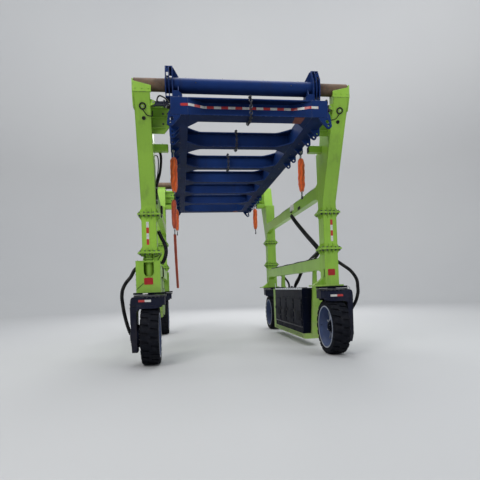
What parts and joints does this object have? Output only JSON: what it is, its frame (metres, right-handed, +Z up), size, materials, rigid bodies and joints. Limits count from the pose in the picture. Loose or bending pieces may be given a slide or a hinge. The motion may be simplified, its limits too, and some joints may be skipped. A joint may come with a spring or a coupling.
{
  "type": "straddle carrier",
  "caption": "Mobile straddle carrier for freight containers: green side frames on steered wheels, dark blue lifting frame on telescoping sleeve tubes",
  "frame": {"origin": "middle of the footprint on the ground, under the middle of the lifting frame", "axes": "+X is the machine's right, -Y its front, +Z up"},
  "size_m": [5.1362, 9.36, 5.72],
  "materials": {
    "leg_paint": "satin",
    "frame_paint": "satin",
    "fork_paint": "satin",
    "black_steel": "satin",
    "rim_paint": "satin",
    "hub_paint": "satin",
    "cylinder_paint": "gloss",
    "rusty_steel": "worn",
    "rod_chrome": "polished",
    "zinc_steel": "satin",
    "tyre_rubber": "matte",
    "hose_rubber": "matte",
    "sling_fabric": "woven"
  },
  "bodies": {
    "top_frame": {"tube_sleeves": "frame_paint", "end_crossbeams": "frame_paint", "middle_crossbeams": "frame_paint", "side_beams": "frame_paint", "lifting_lugs": "frame_paint", "end_lugs": "frame_paint", "sleeve_brackets": "frame_paint", "width_cylinders": "cylinder_paint", "sling_fittings": "zinc_steel", "front_left_sling": "sling_fabric", "front_left_lower_sling": "sling_fabric", "front_left_sling_tail": "sling_fabric", "front_right_sling": "sling_fabric", "rear_left_sling": "sling_fabric", "rear_right_sling": "sling_fabric"},
    "left_side": {"left_slide_tubes": "rusty_steel", "left_upper_legs": "leg_paint", "left_middle_legs": "leg_paint", "left_suspension_boxes": "leg_paint", "left_columns": "leg_paint", "left_tie_beams": "leg_paint", "left_fluid_tank": "leg_paint", "left_slew_rings": "black_steel", "left_width_rods": "rod_chrome", "left_hoses": "hose_rubber"},
    "right_side": {"right_slide_tubes": "rusty_steel", "right_upper_legs": "leg_paint", "right_middle_legs": "leg_paint", "right_lower_legs": "leg_paint", "right_tie_beams": "leg_paint", "right_cradle": "leg_paint", "right_power_box": "black_steel", "right_slew_rings": "black_steel", "right_width_rods": "rod_chrome", "right_hoses": "hose_rubber"},
    "front_left_steer": {"front_left_fork": "fork_paint", "front_left_fork_hose": "hose_rubber", "front_left_motor": "hub_paint"},
    "front_left_wheel": {"front_left_rim": "rim_paint", "front_left_tyre": "tyre_rubber"},
    "front_right_steer": {"front_right_fork": "fork_paint", "front_right_fork_hose": "hose_rubber", "front_right_motor": "hub_paint"},
    "front_right_wheel": {"front_right_rim": "rim_paint", "front_right_tyre": "tyre_rubber"},
    "rear_left_steer": {"rear_left_fork": "fork_paint", "rear_left_fork_hose": "hose_rubber", "rear_left_motor": "hub_paint"},
    "rear_left_wheel": {"rear_left_rim": "rim_paint", "rear_left_tyre": "tyre_rubber"},
    "rear_right_steer": {"rear_right_fork": "fork_paint", "rear_right_fork_hose": "hose_rubber", "rear_right_motor": "hub_paint"},
    "rear_right_wheel": {"rear_right_rim": "rim_paint", "rear_right_tyre": "tyre_rubber"}
  },
  "joints": [
    {"name": "left_width", "type": "slide", "parent": "top_frame", "child": "left_side", "axis": [-1, 0, 0], "range_m": [-0.02, 0.35]},
    {"name": "right_width", "type": "slide", "parent": "top_frame", "child": "right_side", "axis": [1, 0, 0], "range_m": [-0.02, 0.35]},
    {"name": "front_left_steering", "type": "hinge", "parent": "left_side", "child": "front_left_steer", "pos_m": [-1.95, -2.99, 1.43], "axis": [0, 0, 1], "range_deg": [-90, 90]},
    {"name": "front_right_steering", "type": "hinge", "parent": "right_side", "child": "front_right_steer", "pos_m": [1.95, -2.99, 1.43], "axis": [0, 0, 1], "range_deg": [-90, 90]},
    {"name": "rear_left_steering", "type": "hinge", "parent": "left_side", "child": "rear_left_steer", "pos_m": [-1.95, 2.99, 1.43], "axis": [0, 0, 1], "range_deg": [-90, 90]},
    {"name": "rear_right_steering", "type": "hinge", "parent": "right_side", "child": "rear_right_steer", "pos_m": [1.95, 2.99, 1.43], "axis": [0, 0, 1], "range_deg": [-90, 90]},
    {"name": "front_left_rolling", "type": "hinge", "parent": "front_left_steer", "child": "front_left_wheel", "pos_m": [-1.95, -2.99, 0.589], "axis": [1, 0, 0], "continuous": true},
    {"name": "front_right_rolling", "type": "hinge", "parent": "front_right_steer", "child": "front_right_wheel", "pos_m": [1.95, -2.99, 0.589], "axis": [1, 0, 0], "continuous": true},
    {"name": "rear_left_rolling", "type": "hinge", "parent": "rear_left_steer", "child": "rear_left_wheel", "pos_m": [-1.95, 2.99, 0.589], "axis": [1, 0, 0], "continuous": true},
    {"name": "rear_right_rolling", "type": "hinge", "parent": "rear_right_steer", "child": "rear_right_wheel", "pos_m": [1.95, 2.99, 0.589], "axis": [1, 0, 0], "continuous": true}
  ]
}
